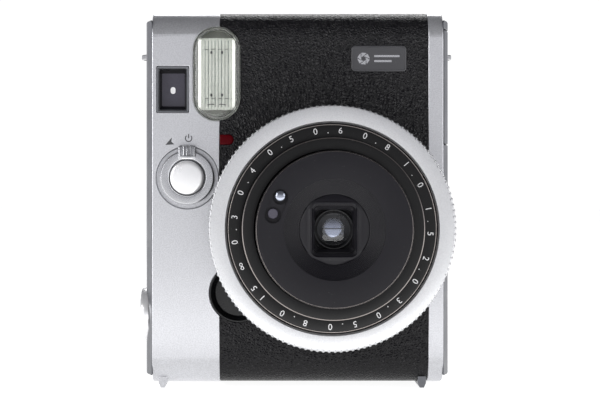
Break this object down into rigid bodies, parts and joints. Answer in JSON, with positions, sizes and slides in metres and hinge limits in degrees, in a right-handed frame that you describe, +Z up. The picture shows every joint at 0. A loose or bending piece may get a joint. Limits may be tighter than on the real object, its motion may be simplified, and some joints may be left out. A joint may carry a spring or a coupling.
{
  "type": "instant camera",
  "caption": "Mini-format instant camera with a silver and black leatherette body, a knurled lens ring and an extended lens.",
  "frame": {"origin": "on the surface the camera stands on, under the middle of its box", "axes": "+X to the right seen from the front, +Y from the lens to the film door, +Z up"},
  "size_m": [0.0964, 0.0732, 0.1134],
  "materials": {
    "silver_paint": "satin",
    "side_metal": "satin",
    "leatherette": "pebbled",
    "black_plastic": "matte",
    "grey_plastic": "matte",
    "bright_metal": "satin",
    "steel": "brushed",
    "clear_plastic": "clear gloss",
    "white_plastic": "gloss",
    "reflector": "polished",
    "glass": "coated",
    "dark_glass": "tinted",
    "red_plastic": "gloss",
    "rubber": "matte",
    "brass": "plain",
    "board": "semi-matte"
  },
  "bodies": {
    "body": {"front_cover": "silver_paint", "leatherette": "leatherette", "side_panel_left": "side_metal", "side_panel_right": "side_metal", "rear_housing": "black_plastic", "light_tunnel": "black_plastic", "lens_mount_base": "black_plastic", "scale_ring": "grey_plastic", "name_plate": "grey_plastic", "finger_rest": "black_plastic", "self_timer_lamp": "red_plastic", "viewfinder_bezel": "silver_paint", "viewfinder_window": "dark_glass", "viewfinder_tube": "black_plastic", "eyepiece_frame": "rubber", "eyepiece_lens": "dark_glass", "flash_housing": "white_plastic", "flash_reflector": "reflector", "flash_tube": "glass", "flash_cover": "clear_plastic", "flash_capacitor": "grey_plastic", "battery": "grey_plastic", "tripod_socket": "steel", "strap_lugs": "steel", "foot_left": "silver_paint", "foot_right": "grey_plastic", "housing_screws": "steel", "control_panel": "black_plastic", "display_window": "dark_glass", "roller_brackets": "steel", "eject_motor": "steel", "main_circuit_board": "board"},
    "ring": {"mode_ring": "bright_metal"},
    "outer_barrel": {"lens_barrel_outer": "black_plastic"},
    "inner_barrel": {"lens_barrel_inner": "grey_plastic", "lens_cone": "black_plastic", "lens_baffle": "black_plastic", "front_lens": "glass", "shutter_unit": "black_plastic", "sensor_windows": "dark_glass"},
    "upper_blade": {"lens_cover_upper": "black_plastic"},
    "lower_blade": {"lens_cover_lower": "black_plastic"},
    "power_switch": {"power_lever": "silver_paint"},
    "front_shutter": {"front_shutter_button": "silver_paint"},
    "side_shutter": {"side_shutter_button": "silver_paint"},
    "battery_hatch": {"battery_door": "side_metal"},
    "mode_key": {"mode_button": "grey_plastic"},
    "flash_key": {"flash_button": "grey_plastic"},
    "macro_key": {"macro_button": "grey_plastic"},
    "timer_key": {"timer_button": "grey_plastic"},
    "brightness_key": {"brightness_button": "grey_plastic"},
    "back_door": {"film_door": "black_plastic", "film_window": "dark_glass", "film_springs": "steel"},
    "latch": {"door_latch": "grey_plastic"},
    "flap": {"exit_flap": "black_plastic"},
    "roller_a": {"front_roller": "steel"},
    "roller_b": {"rear_roller": "steel"},
    "idler": {"idler_gear": "white_plastic"},
    "pinion": {"motor_pinion": "brass"}
  },
  "joints": [
    {"name": "mode_ring_turn", "type": "hinge", "parent": "body", "child": "ring", "pos_m": [0.0095, -0.0156, 0.0484], "axis": [0, -1, 0], "range_deg": [-15, 15], "stiffness_Nm_per_rad": 0.3},
    {"name": "lens_extend", "type": "slide", "parent": "body", "child": "outer_barrel", "axis": [0, 1, 0], "range_m": [0, 0.008]},
    {"name": "inner_barrel_extend", "type": "slide", "parent": "outer_barrel", "child": "inner_barrel", "axis": [0, 1, 0], "range_m": [0, 0.008]},
    {"name": "upper_blade_close", "type": "slide", "parent": "inner_barrel", "child": "upper_blade", "axis": [0, 0, -1], "range_m": [0, 0.008]},
    {"name": "lower_blade_close", "type": "slide", "parent": "inner_barrel", "child": "lower_blade", "axis": [0, 0, 1], "range_m": [0, 0.008]},
    {"name": "power_lever_turn", "type": "hinge", "parent": "body", "child": "power_switch", "pos_m": [-0.0331, -0.0016, 0.0633], "axis": [0, -1, 0], "range_deg": [0, 25], "stiffness_Nm_per_rad": 0.05},
    {"name": "front_shutter_press", "type": "slide", "parent": "body", "child": "front_shutter", "axis": [0, 1, 0], "range_m": [0, 0.0009], "stiffness_N_per_m": 400},
    {"name": "side_shutter_press", "type": "slide", "parent": "body", "child": "side_shutter", "axis": [1, 0, 0], "range_m": [0, 0.001], "stiffness_N_per_m": 400},
    {"name": "battery_door_open", "type": "hinge", "parent": "body", "child": "battery_hatch", "pos_m": [0.045, 0.0108, 0.09], "axis": [0, 0, 1], "range_deg": [0, 90]},
    {"name": "mode_key_press", "type": "slide", "parent": "body", "child": "mode_key", "axis": [0, -1, 0], "range_m": [0, 0.0005], "stiffness_N_per_m": 400},
    {"name": "flash_key_press", "type": "slide", "parent": "body", "child": "flash_key", "axis": [0, -1, 0], "range_m": [0, 0.0005], "stiffness_N_per_m": 400},
    {"name": "macro_key_press", "type": "slide", "parent": "body", "child": "macro_key", "axis": [0, -1, 0], "range_m": [0, 0.0005], "stiffness_N_per_m": 400},
    {"name": "timer_key_press", "type": "slide", "parent": "body", "child": "timer_key", "axis": [0, -1, 0], "range_m": [0, 0.0005], "stiffness_N_per_m": 400},
    {"name": "brightness_key_press", "type": "slide", "parent": "body", "child": "brightness_key", "axis": [0, -1, 0], "range_m": [0, 0.0005], "stiffness_N_per_m": 400},
    {"name": "film_door_open", "type": "hinge", "parent": "body", "child": "back_door", "pos_m": [0.0413, 0.0344, 0.055], "axis": [0, 0, -1], "range_deg": [0, 100]},
    {"name": "door_latch_slide", "type": "slide", "parent": "back_door", "child": "latch", "axis": [0, 0, 1], "range_m": [0, 0.004]},
    {"name": "exit_flap_open", "type": "hinge", "parent": "body", "child": "flap", "pos_m": [0.0095, 0.021, 0.11265], "axis": [-1, 0, 0], "range_deg": [0, 75], "stiffness_Nm_per_rad": 0.002},
    {"name": "front_roller_turn", "type": "hinge", "parent": "body", "child": "roller_a", "pos_m": [0.0095, 0.01525, 0.1072], "axis": [1, 0, 0], "continuous": true},
    {"name": "rear_roller_turn", "type": "hinge", "parent": "body", "child": "roller_b", "pos_m": [0.0095, 0.02035, 0.1072], "axis": [1, 0, 0], "continuous": true},
    {"name": "idler_turn", "type": "hinge", "parent": "body", "child": "idler", "pos_m": [-0.0265, 0.02594, 0.10516], "axis": [1, 0, 0], "continuous": true},
    {"name": "pinion_turn", "type": "hinge", "parent": "body", "child": "pinion", "pos_m": [-0.0265, 0.03113, 0.10328], "axis": [1, 0, 0], "continuous": true}
  ],
  "couplings": [
    {"joint": "inner_barrel_extend", "follows": "lens_extend", "ratio": 1},
    {"joint": "upper_blade_close", "follows": "lens_extend", "ratio": 1},
    {"joint": "lower_blade_close", "follows": "lens_extend", "ratio": 1},
    {"joint": "rear_roller_turn", "follows": "front_roller_turn", "ratio": -1},
    {"joint": "idler_turn", "follows": "front_roller_turn", "ratio": 0.75},
    {"joint": "pinion_turn", "follows": "front_roller_turn", "ratio": -1.2}
  ]
}
